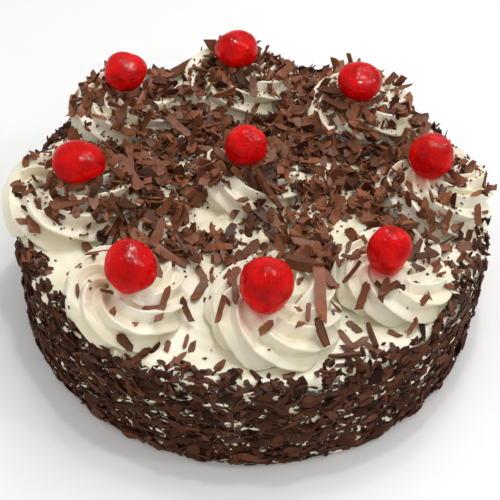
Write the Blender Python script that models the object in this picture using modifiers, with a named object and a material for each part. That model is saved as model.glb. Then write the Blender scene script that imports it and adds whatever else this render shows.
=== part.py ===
"""A whole round black forest cake: cream body, shaved chocolate, piped rosettes and glace cherries.

The origin is the centre of the cake's flat underside and +Z is up. The front of the cake faces -Y.
"""

import math

import bpy
from mathutils import Matrix, Vector

MM = 0.001

# Cake body: the creamed cake under its toppings
BODY_RADIUS = 116.5 * MM
BODY_HEIGHT = 59.3 * MM
SHOULDER = 4.0 * MM
BODY_SEGMENTS = 64

GAP = 0.4 * MM  # clearance between pieces that touch

# Coat of shaved chocolate pressed round the side
COAT_RADIUS = 120.0 * MM
COAT_HEIGHT = 58.0 * MM
COAT_BUMP = 1.8 * MM
COAT_RIM_BUMP = 2.0 * MM
COAT_ROWS = 12
COAT_RISE = 0.75  # how fast the wall's section climbs, so that its ends are flat
COAT_LEAN = 0.6  # how far the rim draws in, as a share of the bump

# Loose bed of shaved chocolate on top, inside the ring of rosettes
BED_INNER_RADIUS = 22.0 * MM
BED_OUTER_RADIUS = 67.0 * MM
BED_THICKNESS = 6.5 * MM
BED_BUMP = 1.3 * MM
BED_CLEARANCE = 1.0 * MM
BED_SEGMENTS = 54
BED_ROWS = 8
FOOT_SIDES = 26  # sides of the round cut in the bed at the foot of each rosette

# Uneven waves round the cake, as (strength, waves round, turn with height, start)
RIPPLES = ((0.45, 9, 260, 0.0), (0.35, 16, -410, 1.3), (0.20, 29, 150, 4.1))

# Piped rosettes
ROSETTE_HEIGHT = 21.5 * MM
RIDGES = 11
COLUMNS_PER_RIDGE = 3
RIDGE_DEPTH = 0.13  # groove depth at the foot, as a share of the rosette's radius
RIDGE_START = 0.25
RIDGE_TWIST = math.radians(105)  # how far a ridge sweeps round between the middle and the foot
# Profile of a rosette from its middle to its foot, as (share of radius, share of height)
ROSETTE_PROFILE = (
    (0.0, 0.86),
    (0.26, 0.93),
    (0.44, 1.0),
    (0.63, 0.95),
    (0.80, 0.76),
    (0.93, 0.49),
    (1.0, 0.2),
    (0.95, 0.0),
    (0.0, 0.0),
)

# Cherries
CHERRY_LIFT = 29.0 * MM  # from the top of the cake to the middle of a cherry
SEAT_CLEARANCE = 1.7 * MM  # between a cherry and the hollow it sits in
CHERRY_COLUMNS = 12
CHERRY_ROWS = 8
DIMPLE_DEPTH = 0.14
DIMPLE_WIDTH = 0.55
DIMPLE_LEAN = math.radians(38)  # from upright

SHARP_ANGLE = math.radians(45)  # edges sharper than this stay crisp

# Each rosette and its cherry: name, rosette centre x, y and radius,
# cherry x, y, width and height, and the turn of the swirl in degrees
ROSETTES = (
    ("back", -13.0, 88.0, 31.0, -13.2, 86.9, 23.2, 19.8, 10),
    ("back_left", -72.0, 63.0, 31.0, -70.4, 62.2, 23.0, 19.0, 75),
    ("left", -90.0, -8.0, 34.0, -85.0, -9.5, 25.2, 16.6, 160),
    ("front_left", -54.0, -75.0, 32.5, -52.2, -75.8, 23.6, 22.4, 215),
    ("front", 11.0, -77.0, 33.0, 7.1, -83.0, 24.6, 26.4, 250),
    ("front_right", 66.0, -52.0, 30.0, 61.3, -59.4, 21.8, 25.4, 305),
    ("right", 90.0, 8.0, 32.0, 85.9, 6.8, 22.0, 24.0, 340),
    ("back_right", 55.0, 68.0, 31.0, 52.9, 63.4, 23.8, 18.4, 35),
    ("centre", -4.0, 9.0, 28.0, -4.9, 8.1, 20.9, 21.2, 120),
)


def clear_scene():
    for obj in list(bpy.data.objects):
        bpy.data.objects.remove(obj, do_unlink=True)


def new_collection(name):
    collection = bpy.data.collections.new(name)
    bpy.context.scene.collection.children.link(collection)
    return collection


def new_material(name, colour, roughness):
    material = bpy.data.materials.new(name)
    material.use_nodes = True
    shader = material.node_tree.nodes["Principled BSDF"]
    shader.inputs["Base Color"].default_value = (*colour, 1.0)
    shader.inputs["Roughness"].default_value = roughness
    shader.inputs["Metallic"].default_value = 0.0
    return material


def adopt(name, collection, material=None):
    """Names the newest primitive, files it in its collection and gives it its material."""
    obj = bpy.context.object
    obj.name = name
    obj.data.name = name
    for holder in list(obj.users_collection):
        holder.objects.unlink(obj)
    collection.objects.link(obj)
    if material:
        obj.data.materials.append(material)
        obj.data.shade_smooth()
        obj.data.set_sharp_from_angle(angle=SHARP_ANGLE)
    return obj


def reshape(obj, rule):
    """Moves every vertex of a mesh to the place that a rule gives for it."""
    for vertex in obj.data.vertices:
        vertex.co = rule(vertex.co)
    obj.data.update()


def ripple(angle, height):
    """A smooth uneven wave round the cake, between -1 and 1."""
    return sum(
        strength * math.sin(count * angle + climb * height + start)
        for strength, count, climb, start in RIPPLES
    )


def make_body(collection, material):
    bpy.ops.mesh.primitive_cylinder_add(
        vertices=BODY_SEGMENTS, radius=BODY_RADIUS, depth=BODY_HEIGHT, location=(0, 0, BODY_HEIGHT / 2)
    )
    body = adopt("cake_body", collection, material)
    weights = body.data.attributes.new("bevel_weight_edge", "FLOAT", "EDGE")
    for edge in body.data.edges:
        on_top = all(body.data.vertices[i].co.z > 0 for i in edge.vertices)
        weights.data[edge.index].value = 1.0 if on_top else 0.0
    shoulder = body.modifiers.new("shoulder", "BEVEL")
    shoulder.limit_method = "WEIGHT"
    shoulder.width = SHOULDER
    shoulder.segments = 2
    return body


def make_side_coat(collection, material):
    """A ring whose section is a thin upright wall: straight inside, uneven outside and along its rim."""
    bpy.ops.mesh.primitive_torus_add(
        major_segments=BODY_SEGMENTS, minor_segments=COAT_ROWS, major_radius=2.0, minor_radius=1.0
    )
    coat = adopt("side_shavings", collection, material)
    inner = BODY_RADIUS + GAP

    def wall(point):
        angle = math.atan2(point.y, point.x)
        across = math.hypot(point.x, point.y) - 2.0  # +1 on the outer side, -1 on the inner
        section = math.atan2(point.z, across)
        up = min(1.0, max(0.0, 0.5 + COAT_RISE * math.sin(section)))
        wave = ripple(angle, up * BODY_HEIGHT)
        height = up * (COAT_HEIGHT + COAT_RIM_BUMP * wave)
        outer_side = math.cos(section) > 0.01
        lean = COAT_LEAN * COAT_BUMP * up**4
        radius = COAT_RADIUS - lean - COAT_BUMP * (0.5 - 0.5 * wave) if outer_side else inner
        return Vector((radius * math.cos(angle), radius * math.sin(angle), height))

    reshape(coat, wall)
    return coat


def make_top_bed(collection, cutters, material):
    """A low uneven ring of shavings, cut back round the foot of every rosette."""
    bpy.ops.mesh.primitive_torus_add(
        major_segments=BED_SEGMENTS, minor_segments=BED_ROWS, major_radius=2.0, minor_radius=1.0
    )
    bed = adopt("top_shavings", collection, material)
    middle = (BED_INNER_RADIUS + BED_OUTER_RADIUS) / 2
    half_width = (BED_OUTER_RADIUS - BED_INNER_RADIUS) / 2

    def layer(point):
        angle = math.atan2(point.y, point.x)
        across = math.hypot(point.x, point.y) - 2.0
        radius = middle + half_width * across
        under = point.z < 0.01
        swell = math.sqrt(max(0.0, point.z))
        bump = BED_BUMP * ripple(angle, radius)
        height = GAP if under else GAP + swell * BED_THICKNESS + bump
        return Vector((radius * math.cos(angle), radius * math.sin(angle), BODY_HEIGHT + height))

    reshape(bed, layer)
    for name, x, y, radius, *_ in ROSETTES:
        bpy.ops.mesh.primitive_cylinder_add(
            vertices=FOOT_SIDES,
            radius=radius * MM + BED_CLEARANCE,
            depth=4 * BED_THICKNESS,
            location=(x * MM, y * MM, BODY_HEIGHT + BED_THICKNESS),
        )
        cutter = adopt("foot_of_" + name, cutters)
        cutter.hide_render = True
        cutter.display_type = "WIRE"
        cut = bed.modifiers.new("round " + name, "BOOLEAN")
        cut.operation = "DIFFERENCE"
        cut.solver = "EXACT"
        cut.object = cutter
    return bed


def reach(centre, radius, direction):
    """How far a rosette spreads one way before it presses against a neighbour."""
    spread = radius
    for _, x, y, other_radius, *_ in ROSETTES:
        other = Vector((x * MM, y * MM))
        apart = (other - centre).length
        if apart < GAP:
            continue
        contact = (apart**2 + radius**2 - (other_radius * MM) ** 2) / (2 * apart)
        facing = direction.dot(other - centre) / apart
        if facing > 0:
            spread = min(spread, (contact - GAP) / facing)
    return spread


def make_rosette(collection, material, name, x, y, radius, cherry_x, cherry_y, wide, tall, turn):
    """A swirl of cream, with ridges that sweep round from its middle to its foot."""
    columns = RIDGES * COLUMNS_PER_RIDGE
    rows = len(ROSETTE_PROFILE) - 1
    bpy.ops.mesh.primitive_uv_sphere_add(segments=columns, ring_count=rows, radius=1.0)
    rosette = adopt("rosette_" + name, collection, material)
    centre = Vector((x, y)) * MM
    cherry = Vector((cherry_x, cherry_y)) * MM
    seat_radius = wide * MM / 2 + SEAT_CLEARANCE
    seat_depth = tall * MM / 2 + SEAT_CLEARANCE
    floor = BODY_HEIGHT + GAP

    def swirl(point):
        row = round(math.acos(max(-1.0, min(1.0, point.z))) / math.pi * rows)
        share, rise = ROSETTE_PROFILE[row]
        column_angle = math.atan2(point.y, point.x)
        crest = abs(math.cos(RIDGES * column_angle / 2 + RIDGE_START)) ** 0.8
        angle = column_angle + math.radians(turn) + RIDGE_TWIST * share
        direction = Vector((math.cos(angle), math.sin(angle)))
        groove = RIDGE_DEPTH * (1 - crest) * share
        spread = share * (1 - groove) * reach(centre, radius * MM, direction)
        place = cherry.lerp(centre, share) + direction * spread
        height = ROSETTE_HEIGHT * rise * (1 - 0.9 * groove)
        off_cherry = (place - cherry).length
        if rise > 0.5 and off_cherry < seat_radius:
            hollow = seat_depth * math.sqrt(1 - (off_cherry / seat_radius) ** 2)
            height = min(height, CHERRY_LIFT - GAP - hollow)
        return Vector((place.x, place.y, floor + height))

    reshape(rosette, swirl)
    return rosette


def make_cherry(collection, material, name, x, y, wide, tall, turn):
    """A glace cherry, a little flattened, with the dimple that its stalk left."""
    bpy.ops.mesh.primitive_uv_sphere_add(segments=CHERRY_COLUMNS, ring_count=CHERRY_ROWS, radius=1.0)
    cherry = adopt("cherry_" + name, collection, material)
    tilt = Matrix.Rotation(math.radians(turn), 3, "Z") @ Matrix.Rotation(DIMPLE_LEAN, 3, "Y")
    centre = Vector((x * MM, y * MM, BODY_HEIGHT + CHERRY_LIFT))
    half = Vector((wide, wide, tall)) * MM / 2

    def fruit(point):
        from_stalk = math.acos(max(-1.0, min(1.0, point.z)))
        dimple = 1 - DIMPLE_DEPTH * math.exp(-((from_stalk / DIMPLE_WIDTH) ** 2))
        return tilt @ (point * dimple) * half + centre

    reshape(cherry, fruit)
    return cherry


clear_scene()
cake = new_collection("black_forest_cake")
cutters = new_collection("cutters")
cream = new_material("whipped_cream", (0.87, 0.81, 0.62), 0.55)
dark_chocolate = new_material("dark_chocolate", (0.070, 0.030, 0.020), 0.5)
milk_chocolate = new_material("milk_chocolate", (0.180, 0.072, 0.043), 0.5)
glace_red = new_material("glace_cherry", (0.55, 0.004, 0.004), 0.15)

make_body(cake, cream)
make_side_coat(cake, dark_chocolate)
make_top_bed(cake, cutters, milk_chocolate)
for place, x, y, radius, cherry_x, cherry_y, wide, tall, turn in ROSETTES:
    make_rosette(cake, cream, place, x, y, radius, cherry_x, cherry_y, wide, tall, turn)
    make_cherry(cake, glace_red, place, cherry_x, cherry_y, wide, tall, turn)
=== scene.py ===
import math

import bpy
import numpy as np
from mathutils import Matrix, Vector, noise
from mathutils.bvhtree import BVHTree


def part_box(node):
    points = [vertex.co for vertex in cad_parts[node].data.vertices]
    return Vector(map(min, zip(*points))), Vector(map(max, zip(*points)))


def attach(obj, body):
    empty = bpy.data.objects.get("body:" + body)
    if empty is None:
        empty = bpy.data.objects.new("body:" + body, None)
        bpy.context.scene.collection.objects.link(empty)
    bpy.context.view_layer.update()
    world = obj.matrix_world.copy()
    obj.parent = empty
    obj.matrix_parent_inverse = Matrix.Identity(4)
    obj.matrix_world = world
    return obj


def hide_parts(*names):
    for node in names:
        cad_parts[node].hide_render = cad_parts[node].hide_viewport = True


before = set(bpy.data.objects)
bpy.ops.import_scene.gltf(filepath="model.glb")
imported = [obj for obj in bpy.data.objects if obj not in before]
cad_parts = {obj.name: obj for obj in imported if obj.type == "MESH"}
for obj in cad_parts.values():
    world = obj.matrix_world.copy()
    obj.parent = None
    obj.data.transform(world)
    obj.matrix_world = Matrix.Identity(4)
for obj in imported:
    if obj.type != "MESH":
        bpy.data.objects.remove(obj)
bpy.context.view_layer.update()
bpy.ops.object.select_all(action="DESELECT")


# ---- Cream over the whole cake -------------------------------------------------------------
# The sponge is hidden under a coat of sweet whipped cream, smoothed with a palette knife.
# It is turned as one round block with a soft shoulder and slightly wavy knife marks.

MM = 0.001
body_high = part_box("cake_body")[1]
TOP = body_high.z
BODY_RADIUS = body_high.x
SHOULDER = 4.5 * MM
SPREAD_VOXEL = 1.7 * MM
KNIFE_WAVES = 0.55 * MM  # how far the smoothed top rises and falls
TURNTABLE_MARKS = 0.12 * MM  # rings that the palette knife leaves as the cake turns under it
TURNTABLE_PITCH = 1.1 * MM
BELOW_TOP = 0.6 * MM  # keeps the waves under the solid's own top
SIDE_WAVES = 0.0022
CREAM_LIGHT = (0.90, 0.85, 0.69)
CREAM_DEEP = (0.83, 0.75, 0.53)
CREAM_ROUGHNESS = 0.5


def node(tree, kind, **inputs):
    """Adds one shader node and sets its inputs by name."""
    made = tree.nodes.new(kind)
    for name, value in inputs.items():
        made.inputs[name.replace("_", " ")].default_value = value
    return made


def noise_on_object(tree, scale, detail=4.0, roughness=0.55):
    """Noise laid over the piece in its own space, as a fraction from 0 to 1."""
    place = tree.nodes.new("ShaderNodeTexCoord")
    grain = node(tree, "ShaderNodeTexNoise", Scale=scale, Detail=detail, Roughness=roughness)
    tree.links.new(place.outputs["Object"], grain.inputs["Vector"])
    return grain.outputs["Fac"]


def ramp(tree, fraction, stops):
    """Turns a fraction into a colour along the given stops."""
    made = tree.nodes.new("ShaderNodeValToRGB")
    band = made.color_ramp
    band.elements[0].position, band.elements[0].color = stops[0][0], (*stops[0][1], 1)
    band.elements[1].position, band.elements[1].color = stops[-1][0], (*stops[-1][1], 1)
    for position, colour in stops[1:-1]:
        band.elements.new(position).color = (*colour, 1)
    tree.links.new(fraction, made.inputs["Fac"])
    return made.outputs["Color"]


def bumpy(tree, shader, height, distance, strength=0.5, under=None):
    """Raises the surface's shading by a height, over an earlier bump if there is one."""
    bump = node(tree, "ShaderNodeBump", Distance=distance, Strength=strength)
    tree.links.new(height, bump.inputs["Height"])
    if under:
        tree.links.new(under.outputs["Normal"], bump.inputs["Normal"])
    tree.links.new(bump.outputs["Normal"], shader.inputs["Normal"])
    return bump


def whipped_cream(name, syrup=False):
    """Pale, softly glowing cream with fine air pits, and cherry syrup where a piece has it."""
    material = bpy.data.materials.new(name)
    material.use_nodes = True
    tree = material.node_tree
    shader = tree.nodes["Principled BSDF"]
    shader.inputs["Roughness"].default_value = CREAM_ROUGHNESS
    shader.inputs["Specular IOR Level"].default_value = 0.35
    shader.inputs["Subsurface Weight"].default_value = 0.12
    shader.inputs["Subsurface Radius"].default_value = (1.0, 0.72, 0.45)
    shader.inputs["Subsurface Scale"].default_value = 1.6 * MM
    colour = ramp(tree, noise_on_object(tree, 55.0), ((0.3, CREAM_DEEP), (0.62, CREAM_LIGHT)))
    if syrup:
        soaked = node(tree, "ShaderNodeAttribute")
        soaked.attribute_name = "syrup"
        stain = tree.nodes.new("ShaderNodeMix")
        stain.data_type = "RGBA"
        stain.inputs["B"].default_value = (0.74, 0.075, 0.06, 1)
        tree.links.new(soaked.outputs["Fac"], stain.inputs["Factor"])
        tree.links.new(colour, stain.inputs["A"])
        colour = stain.outputs["Result"]
    tree.links.new(colour, shader.inputs["Base Color"])
    soft = bumpy(tree, shader, noise_on_object(tree, 420.0, 5.0), 0.25 * MM, 0.5)
    bumpy(tree, shader, noise_on_object(tree, 1900.0, 2.0), 0.08 * MM, 0.5, soft)
    return material


def apply_all(obj):
    """Applies every modifier on a piece, top to bottom."""
    bpy.ops.object.select_all(action="DESELECT")
    bpy.context.view_layer.objects.active = obj
    obj.select_set(True)
    for modifier in list(obj.modifiers):
        bpy.ops.object.modifier_apply(modifier=modifier.name)
    obj.select_set(False)


def to_world(obj):
    """Puts a piece's place, turn and size into its mesh."""
    bpy.ops.object.select_all(action="DESELECT")
    bpy.context.view_layer.objects.active = obj
    obj.select_set(True)
    bpy.ops.object.transform_apply(location=True, rotation=True, scale=True)
    obj.select_set(False)


def points_of(obj):
    flat = np.empty(len(obj.data.vertices) * 3, np.float32)
    obj.data.vertices.foreach_get("co", flat)
    return flat.reshape(-1, 3).astype(np.float64)


def set_points(obj, points):
    obj.data.vertices.foreach_set("co", np.ascontiguousarray(points, np.float32).ravel())
    obj.data.update()


def waves(points, size, seed, octaves=3):
    """Smooth uneven noise between about -1 and 1 at each point, for lumps of the given size."""
    random = np.random.default_rng(seed)
    total = np.zeros(len(points))
    for octave in range(octaves):
        for _ in range(7):
            direction = random.normal(size=3)
            direction *= 2 * math.pi / (size * 0.6**octave) / np.linalg.norm(direction)
            total += np.sin(points @ direction + random.uniform(0, 2 * math.pi)) * 0.6**octave
    return total / 3.2


bpy.ops.mesh.primitive_cylinder_add(
    vertices=160, radius=BODY_RADIUS - 0.3 * MM, depth=TOP, location=(0, 0, TOP / 2)
)
cream_body = bpy.context.object
cream_body.name = "cream_body"
to_world(cream_body)
shoulder = cream_body.modifiers.new("shoulder", "BEVEL")
shoulder.width = SHOULDER
shoulder.segments = 5
shoulder.limit_method = "ANGLE"
skin = cream_body.modifiers.new("skin", "REMESH")
skin.mode = "VOXEL"
skin.voxel_size = SPREAD_VOXEL
skin.use_smooth_shade = True
apply_all(cream_body)
spread = points_of(cream_body)
radii = np.hypot(spread[:, 0], spread[:, 1])
knife = waves(spread * (1, 1, 2.0), 34 * MM, 3, 2) * KNIFE_WAVES
turntable = TURNTABLE_MARKS * np.sin(radii / TURNTABLE_PITCH + waves(spread, 60 * MM, 4, 1))
on_top = np.clip((spread[:, 2] - TOP + 2 * MM) / (1 * MM), 0, 1)
spread[:, 2] += (knife - BELOW_TOP + turntable) * on_top
spread[:, :2] *= (1 + waves(spread, 26 * MM, 5, 2) * SIDE_WAVES)[:, None]
spread[:, 2] = np.maximum(spread[:, 2], 0.0)
set_points(cream_body, spread)
smooth_cream = whipped_cream("smoothed_cream")
cream_body.data.materials.append(smooth_cream)
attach(cream_body, "root")
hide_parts("cake_body")


# ---- Glace cherries --------------------------------------------------------------------------
# Candied cherries soaked in red syrup, one pressed into the top of each rosette while it is soft.
# Each is a little squashed, dented and wrinkled, with the dimple that its stalk left.

PLACES = (
    "back",
    "back_left",
    "left",
    "front_left",
    "front",
    "front_right",
    "right",
    "back_right",
    "centre",
)
THICK_RED = (0.40, 0.0007, 0.0007)
THIN_RED = (0.72, 0.0018, 0.0014)
# Which way each dimple faces: a turn round the upright and a lean away from it, in degrees
DIMPLES = {
    "front": (80, 22),
    "front_left": (-10, 42),
    "front_right": (100, 15),
    "left": (200, 10),
    "right": (60, 25),
    "centre": (40, 30),
}
OTHER_DIMPLE_TURN = 47  # each other dimple is turned on by this much from the one before
OTHER_DIMPLE_LEAN = 20
NARROW_FOOT = {"front_right": 0.22, "front": 0.05, "left": -0.04}  # how much slimmer the foot is
# Shares of a cherry's own radius
PLUMP = 1.01
DIMPLE_DEPTH = 0.15
DIMPLE_WIDTH = 0.34
PUCKER_DEPTH = 0.028
DENT_DEPTH = 0.045
WRINKLE_DEPTH = 0.08
PUCKERS_ROUND = 6  # creases that run out from the dimple


def candied_skin():
    """Glossy translucent red, darker where the fruit is thick."""
    material = bpy.data.materials.new("candied_cherry")
    material.use_nodes = True
    tree = material.node_tree
    shader = tree.nodes["Principled BSDF"]
    shader.inputs["Roughness"].default_value = 0.20
    shader.inputs["IOR"].default_value = 1.36
    shader.inputs["Specular IOR Level"].default_value = 0.04
    shader.inputs["Subsurface Weight"].default_value = 0.35
    shader.inputs["Subsurface Radius"].default_value = (1.0, 0.02, 0.02)
    shader.inputs["Subsurface Scale"].default_value = 3.0 * MM
    shader.inputs["Coat Weight"].default_value = 0.20
    shader.inputs["Coat Roughness"].default_value = 0.04
    flesh = ramp(tree, noise_on_object(tree, 120.0), ((0.35, THICK_RED), (0.65, THIN_RED)))
    tree.links.new(flesh, shader.inputs["Base Color"])
    creases = bumpy(tree, shader, noise_on_object(tree, 320.0, 1.0), 0.40 * MM, 0.45)
    tree.links.new(creases.outputs["Normal"], shader.inputs["Coat Normal"])
    return material


candied = candied_skin()
for number, place in enumerate(PLACES):
    low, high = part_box("cherry_" + place)
    middle = (low + high) / 2
    half = (high - low) / 2
    bpy.ops.mesh.primitive_uv_sphere_add(segments=120, ring_count=80, radius=1.0)
    cherry = bpy.context.object
    cherry.name = "glace_cherry_" + place
    ball = points_of(cherry)
    turn, lean = DIMPLES.get(place, (OTHER_DIMPLE_TURN * number, OTHER_DIMPLE_LEAN))
    axis = Matrix.Rotation(math.radians(turn), 3, "Z") @ Matrix.Rotation(math.radians(lean), 3, "Y")
    stalk = np.array(axis @ Vector((0, 0, 1)))
    from_stalk = np.arccos(np.clip(ball @ stalk, -1, 1))
    dimple = DIMPLE_DEPTH * np.exp(-((from_stalk / DIMPLE_WIDTH) ** 2))
    side_one = np.array(axis @ Vector((1, 0, 0)))
    side_two = np.array(axis @ Vector((0, 1, 0)))
    round_stalk = np.arctan2(ball @ side_two, ball @ side_one)
    creased = np.sin(PUCKERS_ROUND * round_stalk + 7 * waves(ball, 1.3, 40 + number, 2))
    near_dimple = np.exp(-(((from_stalk - 0.8) / 0.8) ** 2))
    puckers = PUCKER_DEPTH * (abs(creased) ** 0.45 - 0.8) * near_dimple
    wrinkles = np.minimum(abs(waves(ball, 0.5, 80 + number, 2)), 0.3) - 0.25
    dents = DENT_DEPTH * waves(ball, 1.6, 50 + number, 2) + WRINKLE_DEPTH * wrinkles
    ball *= (PLUMP - dimple + puckers + dents)[:, None]
    ball[:, :2] *= (1 - NARROW_FOOT.get(place, 0.0) * (0.5 - 0.5 * ball[:, 2]))[:, None]
    set_points(cherry, ball * np.array(half) + np.array(middle))
    cherry.data.shade_smooth()
    cherry.data.materials.append(candied)
    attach(cherry, "root")
    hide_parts("cherry_" + place)


# ---- Piped rosettes --------------------------------------------------------------------------
# Stiff whipped cream pressed through a star nozzle. The bag circles once and then winds in and up
# over its own start, so every tooth of the star leaves a ridge that sweeps round from middle to foot.

SWIRL_VOXEL = 0.5 * MM
# Where each rope of cream starts (degrees), how many times it goes round, the teeth of the nozzle
# that show, how fast the ridges roll round the rope, and how far its foot hangs over the side (mm)
SWIRLS = {
    "back": (150, 1.75, 6, 1.30, 2.0),
    "back_left": (20, 1.75, 6, 1.30, 2.0),
    "left": (120, 1.70, 6, 1.25, 8.5),
    "front_left": (205, 1.80, 6, 1.40, 0.5),
    "front": (215, 1.75, 6, 1.40, 0.5),
    "front_right": (250, 1.75, 6, 1.30, 0.5),
    "right": (60, 1.70, 6, 1.30, 3.5),
    "back_right": (300, 1.75, 6, 1.25, 2.0),
    "centre": (190, 1.65, 6, 1.20, 0.0),
}
# How far a rosette is pushed over (mm) and drawn in when its neighbours crowd it
CROWDED = {"front_left": (-1.5, 3.0, 0.94)}
NOZZLE_DEPTH = 0.50
TOOTH_LEAN = 0.75
TOOTH_SHARPNESS = 0.75
POINTS_PER_TOOTH = 14
ROPE_STEPS = 230
ROPE_SHARE = 0.40  # the rope's thickness as a share of the rosette's reach
WIND_IN = 0.85  # turns over which the rope winds in to the middle
LOW_COIL = 6.6 * MM  # how high the rope's middle lies in the first turn
CLIMB = 7.2 * MM  # how much it rises as it winds in
# The cream under the cherry, which ties the end of the rope to its start
HEART_SHARE = 0.39
HEART_HEIGHT = 9.0 * MM
# The foot, which spreads as the soft rope sinks, and droops where it hangs past the rim
FOOT_HEIGHT = 7.0 * MM
FOOT_SPREAD = 0.11
DROOP = 0.35
LEAN_OUT = 0.35  # share of the overhang by which the whole rosette moves outwards
SUNK = 0.8 * MM  # how deep the foot goes into the cream under it
syrupy_cream = whipped_cream("piped_cream", syrup=True)


def star_mouth(teeth, seed):
    """The outline that the nozzle gives the rope: rounded teeth with sharp grooves between them."""
    random = np.random.default_rng(seed)
    outline = bpy.data.curves.new("star_mouth", "CURVE")
    outline.dimensions = "2D"
    ring = outline.splines.new("POLY")
    ring.points.add(teeth * POINTS_PER_TOOTH - 1)
    tooth_size = random.uniform(0.9, 1.06, teeth)
    for step in range(teeth * POINTS_PER_TOOTH):
        tooth, part = divmod(step, POINTS_PER_TOOTH)
        share = part / POINTS_PER_TOOTH
        crest = 1 - abs(2 * share**TOOTH_LEAN - 1) ** TOOTH_SHARPNESS
        size = 1 - NOZZLE_DEPTH * (1 - crest * tooth_size[tooth])
        angle = 2 * math.pi * step / (teeth * POINTS_PER_TOOTH)
        ring.points[step].co = (size * math.cos(angle), size * math.sin(angle), 0, 1)
    ring.use_cyclic_u = True
    return bpy.data.objects.new("star_mouth", outline)


def pipe_rope(place, middle, cherry_middle, reach, seed):
    """One rope of cream wound into a rosette, as an open coil of ridged tube."""
    start, turns, teeth, roll, _ = SWIRLS[place]
    random = np.random.default_rng(seed)
    thick = ROPE_SHARE * reach
    ring_radius = reach - thick
    mouth = star_mouth(teeth, seed)
    bpy.context.collection.objects.link(mouth)
    path = bpy.data.curves.new("rope", "CURVE")
    path.dimensions = "3D"
    path.twist_mode = "Z_UP"
    line = path.splines.new("POLY")
    line.points.add(ROPE_STEPS - 1)
    wobble = random.uniform(0, 2 * math.pi, 3)
    for step in range(ROPE_STEPS):
        along = step / (ROPE_STEPS - 1)
        gone = along * turns
        angle = math.radians(start) - 2 * math.pi * gone
        inward = max(0.0, (gone - (turns - WIND_IN)) / WIND_IN)
        radius = ring_radius * (1 - 0.90 * inward**1.25)
        radius *= 1 + 0.035 * math.sin(3 * angle + wobble[0])
        height = TOP + LOW_COIL + CLIMB * inward**0.75
        swell = 1 + 0.045 * math.sin(5.3 * gone + wobble[1]) + 0.03 * math.sin(13 * gone + wobble[2])
        size = thick * (1 - 0.24 * inward) * swell
        size *= min(1.0, 0.45 + 0.55 * gone / 0.10) * min(1.0, 0.25 + (1 - along) / 0.05)
        centre = middle.lerp(cherry_middle, inward)
        line.points[step].co = (
            centre.x + radius * math.cos(angle),
            centre.y + radius * math.sin(angle),
            height,
            1,
        )
        line.points[step].radius = size
        line.points[step].tilt = seed + 2 * math.pi * roll * gone
    path.bevel_mode = "OBJECT"
    path.bevel_object = mouth
    path.use_fill_caps = True
    coil = bpy.data.objects.new("rope", path)
    bpy.context.collection.objects.link(coil)
    bpy.context.view_layer.update()
    solid = bpy.data.meshes.new_from_object(coil.evaluated_get(bpy.context.evaluated_depsgraph_get()))
    bpy.data.objects.remove(coil)
    bpy.data.objects.remove(mouth)
    return solid


def settle(obj, middle, reach, overhang):
    """The soft rope sinks onto the cake: its foot spreads and, past the rim, it droops."""
    most = BODY_RADIUS + overhang * MM
    cream = points_of(obj)
    rise = cream[:, 2] - TOP
    away = cream[:, :2] - (middle.x, middle.y)
    far = np.hypot(away[:, 0], away[:, 1])
    low_down = np.clip(1 - rise / FOOT_HEIGHT, 0, 1.2) * np.clip((far / reach - 0.45) / 0.4, 0, 1)
    grow = 1 + FOOT_SPREAD * low_down**1.6
    cream[:, :2] = (middle.x, middle.y) + away * grow[:, None]
    cream[:, 2] += waves(cream, 16 * MM, 90, 2) * 0.35 * MM
    from_axis = np.hypot(cream[:, 0], cream[:, 1])
    cream[:, 2] -= np.clip(from_axis - BODY_RADIUS + 2 * MM, 0, None) * DROOP
    cream[:, :2] *= (np.minimum(from_axis, most + 0.35 * (from_axis - most)) / from_axis)[:, None]
    set_points(obj, cream)


def soak(obj, cherry_low, cherry_high):
    """How far syrup has run out of the cherry into the cream, mostly on its lower left."""
    cream = points_of(obj)
    half = np.array(cherry_high - cherry_low) / 2
    away = cream - np.array(cherry_low + cherry_high) / 2
    clear = (np.linalg.norm(away / half, axis=1) - 1) * half.mean()
    side = (away @ np.array((-0.85, -0.35, -0.4))) / (np.linalg.norm(away, axis=1) + 1e-9)
    run = 0.7 * MM + 3.2 * MM * np.clip(side, 0, 1) ** 1.5 * (1 + 0.6 * waves(cream, 9 * MM, 70, 2))
    soaked = 0.95 * np.exp(-np.clip(clear, 0, None) / np.maximum(run, 0.3 * MM))
    layer = obj.data.attributes.new("syrup", "FLOAT", "POINT")
    layer.data.foreach_set("value", np.clip(soaked, 0, 0.85).astype(np.float32))


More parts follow.
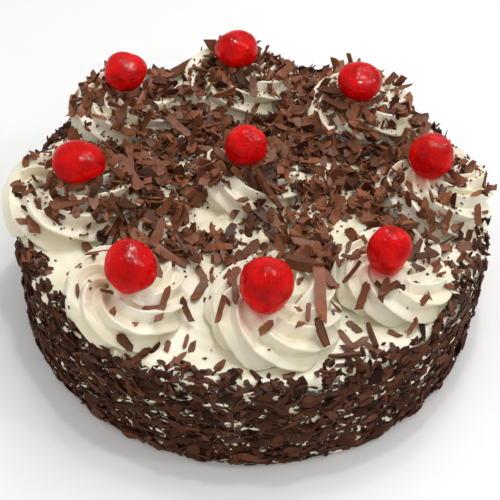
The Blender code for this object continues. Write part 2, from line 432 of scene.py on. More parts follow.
rosettes = {}
for number, place in enumerate(PLACES):
    low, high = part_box("rosette_" + place)
    middle = (low + high) / 2
    reach = max(high.x - low.x, high.y - low.y) / 2 - 0.5 * MM
    middle += Vector((middle.x, middle.y, 0)).normalized() * SWIRLS[place][4] * LEAN_OUT * MM
    over_x, over_y, drawn_in = CROWDED.get(place, (0, 0, 1))
    middle += Vector((over_x * MM, over_y * MM, 0))
    reach *= drawn_in
    cherry_low, cherry_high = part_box("cherry_" + place)
    cherry_middle = (cherry_low + cherry_high) / 2
    rosette = bpy.data.objects.new(
        "rosette", pipe_rope(place, middle, cherry_middle, reach, 11 + number)
    )
    bpy.context.collection.objects.link(rosette)
    bpy.ops.mesh.primitive_uv_sphere_add(
        segments=32,
        ring_count=20,
        radius=HEART_SHARE * reach,
        location=(cherry_middle.x, cherry_middle.y, TOP + HEART_HEIGHT),
    )
    heart = bpy.context.object
    bpy.ops.object.select_all(action="DESELECT")
    heart.select_set(True)
    rosette.select_set(True)
    bpy.context.view_layer.objects.active = rosette
    bpy.ops.object.join()
    rosette.name = "cream_rosette_" + place
    skin = rosette.modifiers.new("skin", "REMESH")
    skin.mode = "VOXEL"
    skin.voxel_size = SWIRL_VOXEL
    skin.use_smooth_shade = True
    apply_all(rosette)
    bpy.context.view_layer.objects.active = rosette
    rosette.select_set(True)
    bpy.ops.object.mode_set(mode="EDIT")
    bpy.ops.mesh.select_all(action="SELECT")
    bpy.ops.mesh.bisect(
        plane_co=(0, 0, TOP - SUNK), plane_no=(0, 0, 1), clear_inner=True, use_fill=True
    )
    bpy.ops.object.mode_set(mode="OBJECT")
    rosette.select_set(False)
    settle(rosette, middle, reach, SWIRLS[place][4])
    soak(rosette, cherry_low, cherry_high)
    rosette.data.materials.clear()
    rosette.data.materials.append(syrupy_cream)
    rosette.data.shade_smooth()
    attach(rosette, "root")
    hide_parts("rosette_" + place)
    rosettes[place] = rosette


# ---- Shaved chocolate round the side ---------------------------------------------------------
# Dark chocolate scraped off a block with a knife into brittle shards, pressed by hand into the soft
# cream all round the side. Under the shards lies a rough crumb of the finest splinters and cream.

CRUMB_RADIUS = BODY_RADIUS + 0.7 * MM
COAT_TOP = TOP - 4 * MM
COAT_WALL = 1.4 * MM
COAT_LUMPS = 0.0045
COAT_RAGGED = 2.2 * MM  # how unevenly the coat ends below the rim
SHARD_STATIONS = 4
ROLL_STATIONS = 4
ROLL_STEPS = 8
DARK_CHOCOLATE = (0.078, 0.0275, 0.0145)
MILK_CHOCOLATE = (0.188, 0.066, 0.030)


def chocolate(name, colour, glint=0.06):
    """Shaved chocolate: each shaving has its own shade and fine scrape marks along its length."""
    material = bpy.data.materials.new(name)
    material.use_nodes = True
    tree = material.node_tree
    shader = tree.nodes["Principled BSDF"]
    shader.inputs["Roughness"].default_value = 0.5
    shader.inputs["Specular IOR Level"].default_value = glint
    own = node(tree, "ShaderNodeAttribute")
    own.attribute_name = "shade"
    dark = tuple(0.30 * c for c in colour)
    pale = (1.75 * colour[0], 1.80 * colour[1], 1.85 * colour[2])
    tone = ramp(tree, own.outputs["Fac"], ((0.0, dark), (0.5, colour), (1.0, pale)))
    bloom = tree.nodes.new("ShaderNodeMix")
    bloom.data_type = "RGBA"
    bloom.blend_type = "MULTIPLY"
    bloom.inputs["Factor"].default_value = 1.0
    mottle = ramp(tree, noise_on_object(tree, 260.0), ((0.3, (0.7, 0.7, 0.7)), (0.7, (1.25, 1.25, 1.25))))
    tree.links.new(tone, bloom.inputs["A"])
    tree.links.new(mottle, bloom.inputs["B"])
    tree.links.new(bloom.outputs["Result"], shader.inputs["Base Color"])
    along = node(tree, "ShaderNodeAttribute")
    along.attribute_name = "grain"
    scrape = node(tree, "ShaderNodeTexNoise", Scale=1.0, Detail=3.0)
    tree.links.new(along.outputs["Vector"], scrape.inputs["Vector"])
    bumpy(tree, shader, scrape.outputs["Fac"], 0.25 * MM, 0.6)
    return material


def shaving_mesh(name, corners, faces, shade, grain):
    """Joins the corners and faces of many shavings into one closed, outward-facing mesh."""
    mesh = bpy.data.meshes.new(name)
    mesh.from_pydata(corners.reshape(-1, 3).tolist(), [], faces.tolist())
    mesh.validate()
    own = mesh.attributes.new("shade", "FLOAT", "POINT")
    own.data.foreach_set("value", shade.astype(np.float32))
    layer = mesh.attributes.new("grain", "FLOAT_VECTOR", "POINT")
    layer.data.foreach_set("vector", grain.astype(np.float32).ravel())
    piece = bpy.data.objects.new(name, mesh)
    bpy.context.collection.objects.link(piece)
    bpy.context.view_layer.objects.active = piece
    piece.select_set(True)
    bpy.ops.object.mode_set(mode="EDIT")
    bpy.ops.mesh.select_all(action="SELECT")
    bpy.ops.mesh.normals_make_consistent(inside=False)
    bpy.ops.object.mode_set(mode="OBJECT")
    piece.select_set(False)
    return piece


def shavings(name, at, along, facing, length, width, thick, curl, twist, shade, stations, seed):
    """One mesh of many shavings, each a thin closed strip, ragged at its edges and curled."""
    random = np.random.default_rng(seed)
    count = len(at)
    along = along / np.linalg.norm(along, axis=1)[:, None]
    facing = facing - along * np.sum(facing * along, axis=1)[:, None]
    facing = facing / np.linalg.norm(facing, axis=1)[:, None]
    across = np.cross(facing, along)
    steps = np.linspace(-1, 1, stations)[None, :] + random.uniform(-0.5, 0.5, (count, stations)) / stations
    steps[:, 0] = -1
    steps[:, -1] = 1
    bend = np.where(np.abs(curl) < 0.02, 0.02, curl)[:, None]
    angle = steps * bend / 2
    radius = length[:, None] / bend
    ahead = radius * np.sin(angle)
    rise = radius * (1 - np.cos(angle))
    rise -= rise.min(axis=1, keepdims=True)
    half = width[:, None] / 2 * random.uniform(0.86, 1.05, (count, stations))
    half[:, 0] *= random.uniform(0.15, 1.0, count)
    half[:, -1] *= random.uniform(0.15, 1.0, count)
    most_broken = np.where(random.uniform(size=count) < 0.3, 0.45, 0.82)[:, None]
    broken = random.uniform(most_broken, 1.05, (count, stations))  # the ragged side of each strip
    slant = np.zeros((count, stations))
    slant[:, 0] = random.uniform(-0.8, 0.8, count)
    slant[:, -1] = random.uniform(-0.8, 0.8, count)
    roll = steps * twist[:, None] / 2
    corners = np.empty((count, stations, 4, 3))
    for corner, (side, top) in enumerate(((1, 1), (-1, 1), (-1, -1), (1, -1))):
        edge = half if side > 0 else -half * broken
        skew = slant * edge
        sideways = edge * np.cos(roll)
        lifted = edge * np.sin(roll) + top * thick[:, None] / 2
        x = ahead + skew - lifted * np.sin(angle)
        z = rise + lifted * np.cos(angle)
        corners[:, :, corner] = (
            at[:, None]
            + along[:, None] * x[..., None]
            + across[:, None] * sideways[..., None]
            + facing[:, None] * z[..., None]
        )
    quads = []
    for station in range(stations - 1):
        for corner in range(4):
            following = (corner + 1) % 4
            here, there = 4 * station, 4 * station + 4
            quads.append((here + corner, here + following, there + following, there + corner))
    last = 4 * (stations - 1)
    quads.append((3, 2, 1, 0))
    quads.append((last, last + 1, last + 2, last + 3))
    faces = (np.array(quads)[None] + (np.arange(count) * stations * 4)[:, None, None]).reshape(-1, 4)
    grain = np.empty((count, stations, 4, 3))
    grain[..., 0] = (steps * length[:, None] * 130)[..., None]
    grain[..., 1] = half[..., None] * np.array((1, -1, -1, 1)) * 2600
    grain[..., 2] = random.uniform(0, 900, count)[:, None, None]
    return shaving_mesh(name, corners, faces, np.repeat(shade, stations * 4), grain)


def finish_piece(piece, material, material_slot, *stands_for):
    piece.data.materials.append(material)
    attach(piece, "root")
    if stands_for:
        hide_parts(*stands_for)


def crumbed(name, share_of_cream, colour):
    """Fine chocolate crumb pressed into cream, with specks of cream showing through."""
    material = bpy.data.materials.new(name)
    material.use_nodes = True
    tree = material.node_tree
    shader = tree.nodes["Principled BSDF"]
    shader.inputs["Roughness"].default_value = 0.65
    edge = 1 - share_of_cream
    speckle = ramp(
        tree,
        noise_on_object(tree, 330.0, 3.0, 0.6),
        ((0.30, tuple(0.5 * c for c in colour)), (edge - 0.02, colour), (edge + 0.02, CREAM_DEEP)),
    )
    tree.links.new(speckle, shader.inputs["Base Color"])
    bumpy(tree, shader, noise_on_object(tree, 500.0), 0.6 * MM, 0.8)
    return material


bpy.ops.mesh.primitive_cylinder_add(
    vertices=300,
    radius=CRUMB_RADIUS,
    depth=COAT_TOP,
    location=(0, 0, COAT_TOP / 2),
    end_fill_type="NOTHING",
)
crumb_coat = bpy.context.object
crumb_coat.name = "side_crumb_coat"
to_world(crumb_coat)
bpy.ops.object.select_all(action="DESELECT")
crumb_coat.select_set(True)
bpy.ops.object.mode_set(mode="EDIT")
bpy.ops.mesh.select_all(action="DESELECT")
bpy.ops.object.mode_set(mode="OBJECT")
for edge in crumb_coat.data.edges:
    heights = [crumb_coat.data.vertices[i].co.z for i in edge.vertices]
    edge.select = abs(heights[0] - heights[1]) > 1 * MM
bpy.ops.object.mode_set(mode="EDIT")
bpy.ops.mesh.subdivide_edgering(number_cuts=24)
bpy.ops.object.mode_set(mode="OBJECT")
crumb_coat.select_set(False)
lumps = points_of(crumb_coat)
lumps[:, :2] *= (1 + waves(lumps, 9 * MM, 21, 3) * COAT_LUMPS)[:, None]
rim_share = np.clip(lumps[:, 2] / COAT_TOP, 0, 1) ** 12
lumps[:, 2] += rim_share * waves(lumps * (1, 1, 0), 13 * MM, 22, 2) * COAT_RAGGED
set_points(crumb_coat, lumps)
wall = crumb_coat.modifiers.new("wall", "SOLIDIFY")
wall.thickness = COAT_WALL
wall.offset = -1
apply_all(crumb_coat)
crumb_coat.data.shade_smooth()
crumb_and_cream = crumbed("crumb_and_cream", 0.40, DARK_CHOCOLATE)
finish_piece(crumb_coat, crumb_and_cream, "dark_chocolate", "side_shavings")

dark_shavings = chocolate("dark_shavings", DARK_CHOCOLATE)


def side_layer(name, count, lengths, widths, stand_off, tilt, seed, spill=0.0):
    """Shards lying against the side at every angle, the higher ones reaching over the rim."""
    random = np.random.default_rng(seed)
    turn = random.uniform(0, 2 * math.pi, count)
    length = random.uniform(*lengths, count) * random.uniform(0.7, 1.0, count)
    width = random.uniform(*widths, count)
    slope = random.normal(0, 0.75, count)
    height = random.uniform(0.5 * MM, TOP - 0.5 * MM + spill, count)
    reach_up = length / 2 * np.abs(np.sin(slope))
    height = np.maximum(height, reach_up + width / 2 + 0.4 * MM)
    outward = np.stack((np.cos(turn), np.sin(turn), np.zeros(count)), axis=1)
    around = np.stack((-np.sin(turn), np.cos(turn), np.zeros(count)), axis=1)
    upright = np.array((0.0, 0.0, 1.0))
    along = around * np.cos(slope)[:, None] + upright * np.sin(slope)[:, None]
    facing = outward + around * random.normal(0, tilt, (count, 1))
    facing = facing + upright * random.normal(0.1, tilt, (count, 1))
    over_rim = np.clip((height - (TOP - 5 * MM)) / (5 * MM), 0, 1)
    facing = facing * (1 - 0.75 * over_rim)[:, None] + upright * (0.8 * over_rim)[:, None]
    base = CRUMB_RADIUS + random.uniform(0, stand_off, count) - 3.2 * MM * over_rim**2
    at = outward * base[:, None] + upright * height[:, None]
    at[:, 2] += 0.5 * MM * over_rim
    return shavings(
        name,
        at,
        along,
        facing,
        length,
        width,
        random.uniform(0.35, 0.7, count) * MM,
        random.normal(-0.15, 0.35, count),
        random.normal(0, 0.5, count),
        np.clip(random.normal(0.5, 0.27, count), 0, 1),
        SHARD_STATIONS,
        seed + 1,
    )


finish_piece(
    side_layer("side_splinters", count=3400, lengths=(3.0 * MM, 7.5 * MM), widths=(0.8 * MM, 2.1 * MM),
               stand_off=1.1 * MM, tilt=0.55, seed=31),
    dark_shavings,
    "dark_chocolate",
    "side_shavings",
)
finish_piece(
    side_layer("side_shards", count=1750, lengths=(5.0 * MM, 12.5 * MM), widths=(2.0 * MM, 4.8 * MM),
               stand_off=2.0 * MM, tilt=0.65, seed=33, spill=0.8 * MM),
    dark_shavings,
    "dark_chocolate",
    "side_shavings",
)
finish_piece(
    side_layer("side_cream_flecks", count=850, lengths=(2.5 * MM, 8.0 * MM), widths=(1.0 * MM, 3.6 * MM),
               stand_off=0.5 * MM, tilt=0.35, seed=35),
    smooth_cream,
    "cream",
    "side_shavings",
)


# ---- Shaved chocolate on top -----------------------------------------------------------------
# Lighter chocolate shaved over the finished top. It lies deepest between the rosettes, as crumbs,
# flakes, long shards and a few rolled curls, and thins out towards the front rim.

BED_REACH = 60 * MM
bpy.ops.mesh.primitive_uv_sphere_add(segments=160, ring_count=80, radius=BED_REACH)
bed = bpy.context.object
bed.name = "top_crumb_bed"
heap = points_of(bed)
rim_share = np.hypot(heap[:, 0], heap[:, 1]) / BED_REACH
bed_lumps = waves(heap * (1, 1, 0), 11 * MM, 24, 3)
thickness = (2.6 * MM + 1.0 * MM * bed_lumps) * np.clip(1 - rim_share**6, 0, 1)
heap[:, 2] = TOP - 1.2 * MM + np.where(heap[:, 2] > 0, thickness, -thickness * 0.3)
heap[:, :2] *= (1 + 0.05 * waves(heap * (1, 1, 0), 30 * MM, 25, 2))[:, None]
set_points(bed, heap)
bed.data.shade_smooth()
finish_piece(bed, crumbed("crumb_in_cream", 0.72, MILK_CHOCOLATE), "milk_chocolate", "top_shavings")

cream_trees = []
graph = bpy.context.evaluated_depsgraph_get()
for piece in (cream_body, bed, *rosettes.values()):
    reach = np.array([tuple(c) for c in piece.bound_box])
    cream_trees.append((BVHTree.FromObject(piece, graph), reach.min(axis=0), reach.max(axis=0)))
cherry_balls = []
for place in PLACES:
    low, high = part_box("cherry_" + place)
    cherry_balls.append(((low.x + high.x) / 2, (low.y + high.y) / 2, (high.x - low.x) / 2))


def ground(x, y):
    """The cream under a point on the top, and which way it faces."""
    best = None
    for tree, low, high in cream_trees:
        if low[0] <= x <= high[0] and low[1] <= y <= high[1]:
            hit, normal, _, _ = tree.ray_cast(Vector((x, y, 0.2)), Vector((0, 0, -1)))
            if hit and (best is None or hit.z > best[0].z):
                best = (hit, normal)
    return best


def smooth_step(low, high, value):
    share = min(1.0, max(0.0, (value - low) / (high - low)))
    return share * share * (3 - 2 * share)


CLEAN_FRONT = -30 * MM  # in front of this the shavings don't gather round the cherries
# Where the cream shows through most: x, y and how far it reaches
BARE_PATCHES = (
    (-14 * MM, -21 * MM, 18 * MM),
    (-25 * MM, -14 * MM, 12 * MM),
    (0 * MM, -33 * MM, 13 * MM),
    (46 * MM, -20 * MM, 18 * MM),
    (-58 * MM, -4 * MM, 9 * MM),
)
BARE_SHARE = 0.22  # of the usual cover, in the middle of such a patch


def top_cover(x, y):
    """How much of the top is covered by shavings there, from 0 to 1."""
    from_axis = math.hypot(x, y)
    front = smooth_step(0.15, 0.85, -y / (from_axis + 1e-6))
    back = smooth_step(-0.2, 0.9, y / (from_axis + 1e-6))
    full_to = (68 - 38 * front) * MM
    thin_from = (118 - 34 * front) * MM
    thin = 0.34 - 0.27 * front + 0.18 * back
    share = 1 - (1 - thin) * smooth_step(full_to, thin_from, from_axis)
    for bare_x, bare_y, bare_reach in BARE_PATCHES:
        from_patch = math.hypot(x - bare_x, y - bare_y) / bare_reach
        share *= BARE_SHARE + (1 - BARE_SHARE) * smooth_step(0.3, 1.0, from_patch)
    for cherry_x, cherry_y, radius in cherry_balls:
        if cherry_y > CLEAN_FRONT:
            beside = math.hypot(x - cherry_x, y - cherry_y) / radius
            share = max(share, 0.85 * (1 - smooth_step(1.1, 1.9, beside)))
    patch = noise.noise(Vector((x, y, 0)) * 60.0) + 0.5 * noise.noise(Vector((x, y, 1)) * 170.0)
    return min(1.0, max(0.02, share * (1 + 0.95 * patch)))


def rim_cover(x, y):
    """Shards that fell back from the side on to the rim, in ragged patches."""
    from_axis = math.hypot(x, y)
    patch = noise.noise(Vector((x, y, 2)) * 55.0) + 0.6 * noise.noise(Vector((x, y, 3)) * 160.0)
    return min(1.0, max(0.0, smooth_step(102 * MM + 9 * MM * patch, 118 * MM, from_axis)))


def scatter(name, count, lengths, widths, thicks, curls, lift, tilt, sparse, stations, seed,
            shade=0.5, cover=top_cover, clear=-1.0 * MM, highest=1.0):
    """Shavings dropped on the top, each resting on what is under it and leaning as it fell."""
    random = np.random.default_rng(seed)
    at, facing = [], []
    while len(at) < count:
        x, y = random.uniform(-119 * MM, 119 * MM, 2)
        if math.hypot(x, y) > 118.0 * MM:
            continue
        share = cover(x, y)
        if random.uniform() > share**sparse:
            continue
        if any(math.hypot(x - cx, y - cy) < radius + clear for cx, cy, radius in cherry_balls):
            continue
        found = ground(x, y)
        if not found or found[0].z > highest:
            continue
        hit, normal = found
        heap = share**2 * random.uniform(0, lift) * (0.35 + 0.65 * normal.z)
        lean = Vector(random.normal(0, tilt * (0.35 + 0.65 * share), 3))
        at.append(hit + normal * (0.25 * MM + heap))
        facing.append((normal * 0.8 + Vector((0, 0, 0.35)) + lean).normalized())
    at = np.array(at)
    facing = np.array(facing)
    return shavings(
        name,
        at,
        random.normal(size=(count, 3)),
        facing,
        random.uniform(*lengths, count) * random.uniform(0.6, 1.0, count),
        random.uniform(*widths, count),
        random.uniform(*thicks, count),
        random.normal(*curls, count),
        random.normal(0, 0.45, count),
        np.clip(random.normal(shade, 0.32, count), 0, 1),
        stations,
        seed + 1,
    )


def rolls(name, at, along, length, radius, turns, shade, seed):
    """One mesh of rolled curls, each a thin sheet of chocolate wound loosely round its length."""
    random = np.random.default_rng(seed)
    count = len(at)
    along = along / np.linalg.norm(along, axis=1)[:, None]
    facing = np.cross(np.cross(along, (0.0, 0.0, 1.0)), along)
    facing = facing / np.linalg.norm(facing, axis=1)[:, None]
    across = np.cross(facing, along)
    wind = np.linspace(0, 1, ROLL_STEPS)
    spin = random.uniform(0, 2 * math.pi, count)[:, None] + turns[:, None] * 2 * math.pi * wind
    swell = radius[:, None] * (0.55 + 0.45 * wind) * random.uniform(0.93, 1.07, (count, ROLL_STEPS))
    corners = np.empty((count, ROLL_STATIONS, ROLL_STEPS, 2, 3))
    for station in range(ROLL_STATIONS):
        share = 2 * station / (ROLL_STATIONS - 1) - 1
        ragged = 1 + random.uniform(-0.12, 0.05, (count, ROLL_STEPS)) * abs(share)
        taper = 1 - 0.22 * abs(share) ** 3
        sag = 0.06 * length[:, None] * (share**2 - 0.4)
        for sheet, skin_of_roll in enumerate((0.0, 0.45 * MM)):
            away = swell * taper - skin_of_roll
            corners[:, station, :, sheet] = (
                at[:, None]
                + along[:, None] * (share * ragged * length[:, None] / 2)[..., None]
                + across[:, None] * (away * np.cos(spin))[..., None]
                + facing[:, None] * (away * np.sin(spin) + sag)[..., None]
            )
    index = np.arange(ROLL_STATIONS * ROLL_STEPS * 2).reshape(ROLL_STATIONS, ROLL_STEPS, 2)
    quads = []
    for station in range(ROLL_STATIONS - 1):
        here, there = index[station], index[station + 1]
        for step in range(ROLL_STEPS - 1):
            quads.append((here[step, 0], here[step + 1, 0], there[step + 1, 0], there[step, 0]))
            quads.append((here[step, 1], there[step, 1], there[step + 1, 1], here[step + 1, 1]))
        quads.append((here[0, 0], there[0, 0], there[0, 1], here[0, 1]))
        quads.append((here[-1, 0], here[-1, 1], there[-1, 1], there[-1, 0]))
    for end, flip in ((index[0], 1), (index[-1], -1)):
        for step in range(ROLL_STEPS - 1):
            quad = (end[step, 0], end[step, 1], end[step + 1, 1], end[step + 1, 0])
            quads.append(quad[::flip])
    faces = (np.array(quads)[None] + (np.arange(count) * index.size)[:, None, None]).reshape(-1, 4)
    grain = np.empty((count, ROLL_STATIONS, ROLL_STEPS, 2, 3))
    grain[..., 0] = (np.linspace(-1, 1, ROLL_STATIONS)[None] * length[:, None] * 130)[:, :, None, None]
    grain[..., 1] = (spin * radius[:, None] * 2600)[:, None, :, None]
    grain[..., 2] = random.uniform(0, 900, count)[:, None, None, None]
    return shaving_mesh(name, corners, faces, np.repeat(shade, index.size), grain)


LAID_ON_HEAP = 3.5 * MM  # how high the other shavings hold up a laid one where they lie deepest


def laid(pieces, lift):
    """Where pieces laid one by one rest: the middle of each, and the way it runs over what lies under."""
    at, along, facing = [], [], []
    for x, y, turn, length, *_ in pieces:
        way = Vector((math.cos(math.radians(turn)), math.sin(math.radians(turn)), 0)) * length * MM
        shares, heights = [], []
        for share in (-0.45, -0.3, -0.15, 0.0, 0.15, 0.3, 0.45):
            found = ground(x * MM + way.x * share, y * MM + way.y * share)
            if found:
                shares.append(share)
                heights.append(found[0].z)
        slope, level = np.polyfit(shares, heights, 1)
        clear = max(height - slope * share - level for share, height in zip(shares, heights))
        heap = LAID_ON_HEAP * top_cover(x * MM, y * MM) ** 2
        at.append((x * MM, y * MM, level + clear + lift + heap))
        along.append((way.x, way.y, slope))
        facing.append(Vector((0, 0, 1)) + ground(x * MM, y * MM)[1] * 0.5)
    return np.array(at), np.array(along), np.array(facing)


milk_shavings = chocolate("milk_shavings", MILK_CHOCOLATE, 0.09)
finish_piece(
    scatter("top_crumbs", 3000, (0.9 * MM, 2.6 * MM), (0.6 * MM, 1.6 * MM), (0.3 * MM, 0.6 * MM),
            (0, 0.2), 2.0 * MM, 0.35, 1.6, 3, 41, 0.48, clear=-0.5 * MM),
    milk_shavings,
    "milk_chocolate",
    "top_shavings",
)
finish_piece(
    scatter("top_flakes", 1700, (3.8 * MM, 12.0 * MM), (1.7 * MM, 4.6 * MM), (0.3 * MM, 0.6 * MM),
            (0, 0.45), 4.0 * MM, 0.36, 1.5, 4, 43),
    milk_shavings,
    "milk_chocolate",
    "top_shavings",
)
finish_piece(
    scatter("top_shards", 640, (9.0 * MM, 22.0 * MM), (3.0 * MM, 6.8 * MM), (0.4 * MM, 0.8 * MM),
            (0.3, 0.8), 5.0 * MM, 0.34, 2.4, 7, 45, 0.55, clear=1.5 * MM),
    milk_shavings,
    "milk_chocolate",
    "top_shavings",
)
finish_piece(
    scatter("rim_flakes", 450, (4.0 * MM, 10.0 * MM), (1.6 * MM, 3.8 * MM), (0.35 * MM, 0.7 * MM),
            (0, 0.4), 1.0 * MM, 0.30, 1.4, 4, 47, cover=rim_cover, highest=TOP + 1.5 * MM),
    dark_shavings,
    "dark_chocolate",
    "side_shavings",
)

# Flakes that slid down a cherry and stuck in the cream at its foot, in a half ring at its front
TUCKED_UNDER = ("left", "centre", "back_left", "back", "back_right")
TUCKED_EACH = 13


def tucked(random):
    """Where the tucked flakes lie, the way each runs and the way each faces."""
    at, along, facing = [], [], []
    for place in TUCKED_UNDER:
        low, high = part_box("cherry_" + place)
        half = (high - low) / 2
        for turn in np.radians(np.linspace(-170, -10, TUCKED_EACH) + random.normal(0, 5, TUCKED_EACH)):
            outward = Vector((math.cos(turn), math.sin(turn), 0))
            out = random.uniform(0.72, 1.05)
            up = random.uniform(-1.5, 2.5) * MM + 4 * MM * (out - 0.72)
            foot = (low + high) / 2 + Vector((outward.x * half.x, outward.y * half.y, 0)) * out
            foot.z = low.z + up
            at.append(foot)
            along.append(outward.cross(Vector((0, 0, 1))) + Vector(random.normal(0, 0.45, 3)))
            facing.append(outward + Vector((0, 0, random.uniform(0.2, 1.2))))
    return np.array(at), np.array(along), np.array(facing)


random = np.random.default_rng(57)
count = len(TUCKED_UNDER) * TUCKED_EACH
finish_piece(
    shavings(
        "top_tucked_flakes",
        *tucked(random),
        random.uniform(5 * MM, 10 * MM, count),
        random.uniform(2.2 * MM, 4.2 * MM, count),
        np.full(count, 0.5 * MM),
        random.normal(-0.3, 0.4, count),
        random.normal(0, 0.4, count),
        np.clip(random.normal(0.5, 0.25, count), 0, 1),
        5,
        58,
    ),
    milk_shavings,
    "milk_chocolate",
    "top_shavings",
)

# Shavings that stand out: x and y (mm), turn from the x axis (degrees), length and width (mm),
# and shade from 0 (dark) to 1 (pale)
LAID_FLAKES = (
    (31, -77, -88, 34, 6.0, 0.85),
    (-63, -17, 47, 16, 9.5, 0.15),
    (-42, -87, 19, 9, 3.4, 0.55),
    (-37, -85, 77, 17, 4.2, 0.60),
    (-23, -63, 69, 15, 4.5, 0.55),
    (-7, -69, 75, 13, 4.8, 0.60),
    (-12, -88, 69, 13, 2.6, 0.65),
    (-6, -80, 96, 14, 3.2, 0.50),
    (8, -98, 39, 8, 4.2, 0.70),
    (26, -88, 87, 10, 2.4, 0.60),
    (-35, -96, 83, 6, 2.6, 0.55),
    (-28, -105, -25, 9, 3.6, 0.55),
    (-30, -103, 51, 12, 2.4, 0.60),
    (-27, -93, 81, 8, 2.0, 0.55),
    (51, -73, 64, 13, 4.0, 0.55),
    (62, -72, 30, 11, 3.2, 0.50),
    (78, -75, 39, 6, 3.0, 0.60),
    (66, -83, -28, 6, 2.6, 0.55),
    (74, -81, 55, 9, 2.4, 0.60),
    (50, -89, 38, 11, 3.2, 0.50),
    (58, -93, -28, 13, 3.6, 0.45),
    (93, -67, -42, 9, 2.8, 0.55),
    (48, -80, -43, 8, 3.6, 0.50),
    (44, -87, -58, 11, 3.2, 0.60),
    (86, -21, -71, 12, 4.2, 0.55),
    (94, -21, 72, 11, 3.0, 0.60),
    (104, -32, -63, 17, 3.0, 0.55),
    (-69, -58, 27, 13, 4.0, 0.55),
    (26, -35, -10, 14, 5.0, 0.65),
    (53, 2, 65, 23, 5.5, 0.60),
    (4, 4, 47, 17, 5.0, 0.65),
    (41, 54, -39, 16, 7.0, 0.25),
    (-40, -49, -37, 17, 5.5, 0.60),
    (-29, -42, -48, 17, 5.0, 0.70),
    (59, -69, -40, 7, 2.4, 0.25),
    (63, -71, -8, 9, 2.6, 0.20),
    (51, -72, 72, 12, 2.8, 0.50),
    (60, -73, 68, 11, 4.4, 0.35),
    (76, -45, 51, 12, 3.4, 0.25),
    (81, -50, -6, 11, 3.8, 0.15),
    (76, -57, -36, 6, 3.0, 0.15),
    (83, -45, -24, 6, 3.4, 0.20),
    (84, -36, -11, 10, 3.6, 0.30),
    (75, -44, -75, 10, 3.6, 0.30),
    (46, -54, -30, 11, 2.8, 0.45),
    (40, -53, -84, 10, 2.4, 0.50),
    (46, -63, 38, 13, 2.0, 0.25),
    (52, -43, -76, 7, 2.2, 0.45),
    (36, -64, -56, 12, 4.6, 0.60),
    (39, -78, 20, 8, 3.2, 0.55),
    (-23, -53, -58, 9, 3.6, 0.50),
    (-10, -66, 69, 7, 3.0, 0.50),
    (-63, -80, -7, 6, 1.6, 0.45),
    (-28, -80, -54, 12, 3.0, 0.35),
    (-42, -67, -67, 12, 3.6, 0.55),
    (-43, -54, -49, 13, 5.0, 0.40),
    (-38, -57, 0, 9, 3.6, 0.55),
    (-53, -100, -30, 10, 4.8, 0.20),
    (-47, -103, 34, 10, 4.0, 0.25),
    (-6, -110, 20, 11, 3.2, 0.30),
    (19, -109, 25, 6, 2.6, 0.35),
    (-87, -30, 25, 16, 5.0, 0.50),
    (-77, -21, -78, 22, 5.0, 0.62),
    (-73, 8, -58, 21, 6.0, 0.55),
    (-63, 4, -55, 22, 8.0, 0.60),
    (-52, 19, -5, 18, 4.0, 0.60),
    (-47, 25, -58, 25, 4.2, 0.48),
    (-42, 45, -33, 17, 5.0, 0.55),
    (-52, -35, -40, 16, 6.0, 0.62),
    (-45, -37, -98, 26, 5.0, 0.52),
    (-30, -41, -59, 21, 6.0, 0.22),
    (-39, -54, -26, 16, 5.0, 0.66),
    (-1, -39, 57, 16, 6.0, 0.30),
    (-25, 5, -72, 24, 6.0, 0.38),
    (-16, 7, -46, 14, 4.0, 0.42),
    (34, -22, -76, 17, 5.0, 0.55),
    (86, -26, -48, 11, 7.0, 0.48),
    (73, -31, -59, 17, 6.0, 0.24),
    (109, -16, -77, 11, 4.0, 0.60),
    (39, 64, -36, 17, 5.0, 0.15),
    (-43, 100, 27, 18, 6.5, 0.30),
    (15, 52, -22, 14, 4.0, 0.60),
)
# Rolled curls: x, y, turn, length, width and shade in the same way
LAID_ROLLS = (
    (24, -62, -9, 18, 8.0, 0.28),
    (32, -96, -50, 14, 4.6, 0.35),
    (43, -97, 10, 14, 2.6, 0.30),
    (56, -85, -74, 14, 3.4, 0.25),
    (7, -11, -45, 22, 4.0, 0.30),
)
sizes_of_flakes = np.array(LAID_FLAKES)
random = np.random.default_rng(51)
finish_piece(
    shavings(
        "top_long_flakes",
        *laid(LAID_FLAKES, 0.5 * MM),
        sizes_of_flakes[:, 3] * MM,
        sizes_of_flakes[:, 4] * MM,
        np.full(len(LAID_FLAKES), 0.6 * MM),
        random.uniform(-0.2, 0.9, len(LAID_FLAKES)),
        random.normal(0, 0.3, len(LAID_FLAKES)),
        sizes_of_flakes[:, 5],
        8,
        52,
    ),
    milk_shavings,
    "milk_chocolate",
    "top_shavings",
)
sizes_of_rolls = np.array(LAID_ROLLS)
places_of_rolls, runs_of_rolls, _ = laid(LAID_ROLLS, 1.2 * MM)
finish_piece(
    rolls(
        "top_rolled_curls",
        places_of_rolls,
        runs_of_rolls,
        sizes_of_rolls[:, 3] * MM,
        sizes_of_rolls[:, 4] / 2 * MM,
        random.uniform(1.1, 1.6, len(LAID_ROLLS)),
        sizes_of_rolls[:, 5],
        54,
    ),
    milk_shavings,
    "milk_chocolate",
    "top_shavings",
)


# ---- Floor, light and camera -----------------------------------------------------------------
# A plain pale table top in even pale light, with one large soft light above and behind and two
# small lamps. Two more lamps are seen only in glossy things, as the glints on wet fruit.

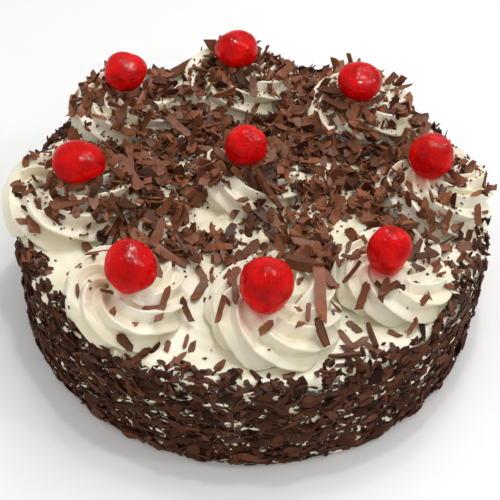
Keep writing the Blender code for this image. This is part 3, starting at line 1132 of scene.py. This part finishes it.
bpy.ops.mesh.primitive_plane_add(size=8.0)
table_top = bpy.context.object
table_top.name = "table_top"
pale = bpy.data.materials.new("pale_table")
pale.use_nodes = True
pale_shader = pale.node_tree.nodes["Principled BSDF"]
pale_shader.inputs["Roughness"].default_value = 0.7
pale_tint = ramp(
    pale.node_tree,
    noise_on_object(pale.node_tree, 3.0),
    ((0.4, (0.86, 0.86, 0.85)), (0.6, (0.89, 0.89, 0.88))),
)
pale.node_tree.links.new(pale_tint, pale_shader.inputs["Base Color"])
table_top.data.materials.append(pale)

world = bpy.data.worlds.new("studio")
bpy.context.scene.world = world
world.use_nodes = True
world.node_tree.nodes["Background"].inputs["Color"].default_value = (1.0, 1.0, 1.0, 1)
world.node_tree.nodes["Background"].inputs["Strength"].default_value = 0.75


def soft_box(name, place, size, watts, only_shine=False):
    light = bpy.data.lights.new(name, "AREA")
    light.size = size
    light.energy = watts
    lamp = bpy.data.objects.new(name, light)
    bpy.context.collection.objects.link(lamp)
    lamp.location = place
    lamp.visible_diffuse = not only_shine
    lamp.rotation_euler = (Vector((0, 0, 0.05)) - lamp.location).to_track_quat("-Z", "Y").to_euler()


soft_box("overhead", (0.25, 0.35, 0.90), 0.45, 1.9)
soft_box("lamp", (0.05, 0.05, 1.00), 0.05, 1.4)
soft_box("window", (0.55, -0.15, 0.75), 0.05, 0.7)
soft_box("sparkle_above", (0.04, 0.20, 0.95), 0.07, 15.0, True)
soft_box("sparkle_beside", (0.50, 0.05, 0.80), 0.06, 10.0, True)

FOCAL = 75.6
EYE = Vector((-0.0005, -0.3839, 0.4255))
PITCH, YAW, ROLL = math.radians(46.4), math.radians(-0.02), math.radians(-2.77)
forward = Vector(
    (math.sin(YAW) * math.cos(PITCH), math.cos(YAW) * math.cos(PITCH), -math.sin(PITCH))
)
level = Vector((math.cos(YAW), -math.sin(YAW), 0))
upward = level.cross(forward)
right = math.cos(ROLL) * level - math.sin(ROLL) * upward
up = math.sin(ROLL) * level + math.cos(ROLL) * upward
lens = bpy.data.cameras.new("camera")
lens.sensor_width = 36
lens.lens = FOCAL
lens.clip_start = 0.01
camera = bpy.data.objects.new("camera", lens)
bpy.context.collection.objects.link(camera)
turned = Matrix((right, up, -forward)).transposed()
camera.matrix_world = Matrix.Translation(EYE) @ turned.to_4x4()
bpy.context.scene.camera = camera
bpy.context.scene.view_settings.view_transform = "Standard"
